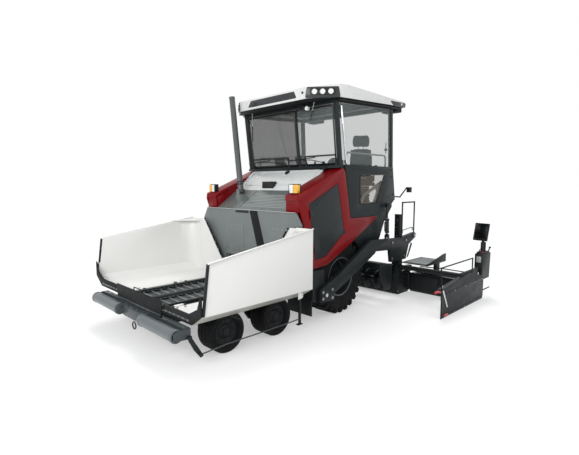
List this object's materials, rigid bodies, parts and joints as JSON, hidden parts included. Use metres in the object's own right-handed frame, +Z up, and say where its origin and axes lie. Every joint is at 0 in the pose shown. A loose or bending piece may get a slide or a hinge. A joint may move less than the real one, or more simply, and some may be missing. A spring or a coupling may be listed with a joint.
{
  "type": "wheeled asphalt paver",
  "caption": "Wheeled asphalt paver with a folding hopper, engine hood, operator cab and an extending screed on tow arms, parked with the screed down.",
  "frame": {"origin": "on the ground below the middle of the machine's bounding box", "axes": "+Z up, the machine drives towards -Y, its left side is +X"},
  "size_m": [5.28, 6.58, 3.96],
  "materials": {
    "dark_paint": "satin",
    "red_paint": "gloss",
    "white_paint": "gloss",
    "grey_paint": "satin",
    "screed_steel": "satin",
    "cast_steel": "rough",
    "bright_rod": "polished",
    "rubber": "matte",
    "tyre": "matte",
    "dark_plastic": "satin",
    "white_shell": "gloss",
    "seat_cover": "matte",
    "window_glass": "clear"
  },
  "bodies": {
    "machine": {"chassis_frame": "dark_paint", "conveyor_deck": "dark_paint", "push_beam": "dark_paint", "apron_center": "rubber", "hopper_rear_wall": "grey_paint", "engine_block": "cast_steel", "hood_deck": "grey_paint", "platform": "dark_paint", "cab_frame": "dark_paint", "windscreen_left": "window_glass", "windscreen_right": "window_glass", "roof": "white_shell", "console_desk": "dark_plastic", "operator_seat": "seat_cover", "auger_bracket": "dark_paint", "bogie_beam_left": "dark_paint", "bogie_beam_right": "dark_paint", "tow_bracket_left": "dark_paint", "tow_bracket_right": "dark_paint", "wheel_house_left": "dark_paint", "wheel_house_right": "dark_paint", "rear_drive_left": "dark_paint", "rear_drive_right": "dark_paint", "side_frame_left": "red_paint", "side_frame_right": "red_paint", "cab_side_panel_left": "dark_paint", "cab_side_panel_right": "dark_paint", "side_window_left": "window_glass", "side_window_right": "window_glass"},
    "knuckle_1_left": {"knuckle_1_left": "dark_paint"},
    "front_wheel_1_left": {"front_wheel_1_left": "tyre"},
    "knuckle_1_right": {"knuckle_1_right": "dark_paint"},
    "front_wheel_1_right": {"front_wheel_1_right": "tyre"},
    "knuckle_2_left": {"knuckle_2_left": "dark_paint"},
    "front_wheel_2_left": {"front_wheel_2_left": "tyre"},
    "knuckle_2_right": {"knuckle_2_right": "dark_paint"},
    "front_wheel_2_right": {"front_wheel_2_right": "tyre"},
    "rear_wheel_left": {"rear_rim_left": "dark_paint", "rear_tyre_left": "tyre"},
    "rear_wheel_right": {"rear_rim_right": "dark_paint", "rear_tyre_right": "tyre"},
    "push_roller_left": {"push_roller_left": "grey_paint"},
    "push_roller_right": {"push_roller_right": "grey_paint"},
    "hopper_wing_left": {"hopper_wing_left": "white_paint"},
    "hopper_wing_right": {"hopper_wing_right": "white_paint"},
    "hood_lid": {"hood_lid": "white_paint"},
    "exhaust_stack": {"exhaust_stack": "grey_paint"},
    "side_door_left": {"side_door_left": "dark_paint"},
    "side_door_right": {"side_door_right": "dark_paint"},
    "screed": {"tow_arm_left": "screed_steel", "tow_arm_right": "screed_steel", "main_screed": "screed_steel"},
    "lift_cylinder_left": {"lift_cylinder_left": "dark_paint"},
    "lift_rod_left": {"lift_rod_left": "bright_rod"},
    "lift_cylinder_right": {"lift_cylinder_right": "dark_paint"},
    "lift_rod_right": {"lift_rod_right": "bright_rod"},
    "screed_extension_left": {"screed_extension_left": "screed_steel"},
    "screed_extension_right": {"screed_extension_right": "screed_steel"},
    "auger_left": {"auger_left": "cast_steel"},
    "auger_right": {"auger_right": "cast_steel"}
  },
  "joints": [
    {"name": "steer_1_left", "type": "hinge", "parent": "machine", "child": "knuckle_1_left", "pos_m": [0.74, -2.391, 0.29], "axis": [0, 0, 1], "range_deg": [-22, 22]},
    {"name": "front_wheel_1_left_spin", "type": "hinge", "parent": "knuckle_1_left", "child": "front_wheel_1_left", "pos_m": [1.04, -2.391, 0.29], "axis": [1, 0, 0], "continuous": true},
    {"name": "steer_1_right", "type": "hinge", "parent": "machine", "child": "knuckle_1_right", "pos_m": [-0.74, -2.391, 0.29], "axis": [0, 0, 1], "range_deg": [-22, 22]},
    {"name": "front_wheel_1_right_spin", "type": "hinge", "parent": "knuckle_1_right", "child": "front_wheel_1_right", "pos_m": [-1.04, -2.391, 0.29], "axis": [1, 0, 0], "continuous": true},
    {"name": "steer_2_left", "type": "hinge", "parent": "machine", "child": "knuckle_2_left", "pos_m": [0.74, -1.466, 0.29], "axis": [0, 0, 1], "range_deg": [-14, 14]},
    {"name": "front_wheel_2_left_spin", "type": "hinge", "parent": "knuckle_2_left", "child": "front_wheel_2_left", "pos_m": [1.04, -1.466, 0.29], "axis": [1, 0, 0], "continuous": true},
    {"name": "steer_2_right", "type": "hinge", "parent": "machine", "child": "knuckle_2_right", "pos_m": [-0.74, -1.466, 0.29], "axis": [0, 0, 1], "range_deg": [-14, 14]},
    {"name": "front_wheel_2_right_spin", "type": "hinge", "parent": "knuckle_2_right", "child": "front_wheel_2_right", "pos_m": [-1.04, -1.466, 0.29], "axis": [1, 0, 0], "continuous": true},
    {"name": "rear_wheel_left_spin", "type": "hinge", "parent": "machine", "child": "rear_wheel_left", "pos_m": [0.99, 0.1, 0.665], "axis": [1, 0, 0], "continuous": true},
    {"name": "rear_wheel_right_spin", "type": "hinge", "parent": "machine", "child": "rear_wheel_right", "pos_m": [-0.99, 0.1, 0.665], "axis": [1, 0, 0], "continuous": true},
    {"name": "push_roller_left_spin", "type": "hinge", "parent": "machine", "child": "push_roller_left", "pos_m": [0.81, -3.2, 0.46], "axis": [1, 0, 0], "continuous": true},
    {"name": "push_roller_right_spin", "type": "hinge", "parent": "machine", "child": "push_roller_right", "pos_m": [-0.81, -3.2, 0.46], "axis": [1, 0, 0], "continuous": true},
    {"name": "wing_left_fold", "type": "hinge", "parent": "machine", "child": "hopper_wing_left", "pos_m": [0.62, -2.05, 0.62], "axis": [0, -1, 0], "range_deg": [0, 50]},
    {"name": "wing_right_fold", "type": "hinge", "parent": "machine", "child": "hopper_wing_right", "pos_m": [-0.62, -2.05, 0.62], "axis": [0, 1, 0], "range_deg": [0, 50]},
    {"name": "hood_lid_open", "type": "hinge", "parent": "machine", "child": "hood_lid", "pos_m": [0, -0.549, 2.19], "axis": [1, 0, 0], "range_deg": [0, 55]},
    {"name": "exhaust_fold", "type": "hinge", "parent": "machine", "child": "exhaust_stack", "pos_m": [-0.56, -0.75, 2.17], "axis": [0, 1, 0], "range_deg": [0, 88]},
    {"name": "side_door_left_open", "type": "hinge", "parent": "machine", "child": "side_door_left", "pos_m": [1.268, -0.753, 1.528], "axis": [0, 0.1573, -0.9875], "range_deg": [0, 95]},
    {"name": "side_door_right_open", "type": "hinge", "parent": "machine", "child": "side_door_right", "pos_m": [-1.268, -0.753, 1.528], "axis": [0, -0.1573, 0.9875], "range_deg": [0, 95]},
    {"name": "screed_lift", "type": "hinge", "parent": "machine", "child": "screed", "pos_m": [0, -0.52, 0.48], "axis": [1, 0, 0], "range_deg": [0, 7]},
    {"name": "lift_cylinder_left_swing", "type": "hinge", "parent": "screed", "child": "lift_cylinder_left", "pos_m": [1.325, 1.365, 1.3], "axis": [1, 0, 0], "range_deg": [-23, 0]},
    {"name": "lift_rod_left_slide", "type": "slide", "parent": "lift_cylinder_left", "child": "lift_rod_left", "axis": [0, -0.025, 0.9997], "range_m": [-0.227, 0]},
    {"name": "lift_cylinder_right_swing", "type": "hinge", "parent": "screed", "child": "lift_cylinder_right", "pos_m": [-1.325, 1.365, 1.3], "axis": [1, 0, 0], "range_deg": [-23, 0]},
    {"name": "lift_rod_right_slide", "type": "slide", "parent": "lift_cylinder_right", "child": "lift_rod_right", "axis": [0, -0.025, 0.9997], "range_m": [-0.227, 0]},
    {"name": "extension_left_slide", "type": "slide", "parent": "screed", "child": "screed_extension_left", "axis": [-1, 0, 0], "range_m": [0, 1.2]},
    {"name": "extension_right_slide", "type": "slide", "parent": "screed", "child": "screed_extension_right", "axis": [1, 0, 0], "range_m": [0, 1.2]},
    {"name": "auger_left_spin", "type": "hinge", "parent": "machine", "child": "auger_left", "pos_m": [0.69, 1.45, 0.38], "axis": [1, 0, 0], "continuous": true},
    {"name": "auger_right_spin", "type": "hinge", "parent": "machine", "child": "auger_right", "pos_m": [-0.69, 1.45, 0.38], "axis": [1, 0, 0], "continuous": true}
  ],
  "couplings": [
    {"joint": "steer_1_right", "follows": "steer_1_left", "ratio": 1},
    {"joint": "steer_2_left", "follows": "steer_1_left", "ratio": 0.63},
    {"joint": "steer_2_right", "follows": "steer_1_left", "ratio": 0.63},
    {"joint": "lift_cylinder_left_swing", "follows": "screed_lift", "ratio": -3.0845},
    {"joint": "lift_rod_left_slide", "follows": "screed_lift", "m_per_rad": -1.78},
    {"joint": "lift_cylinder_right_swing", "follows": "screed_lift", "ratio": -3.0845},
    {"joint": "lift_rod_right_slide", "follows": "screed_lift", "m_per_rad": -1.78}
  ]
}
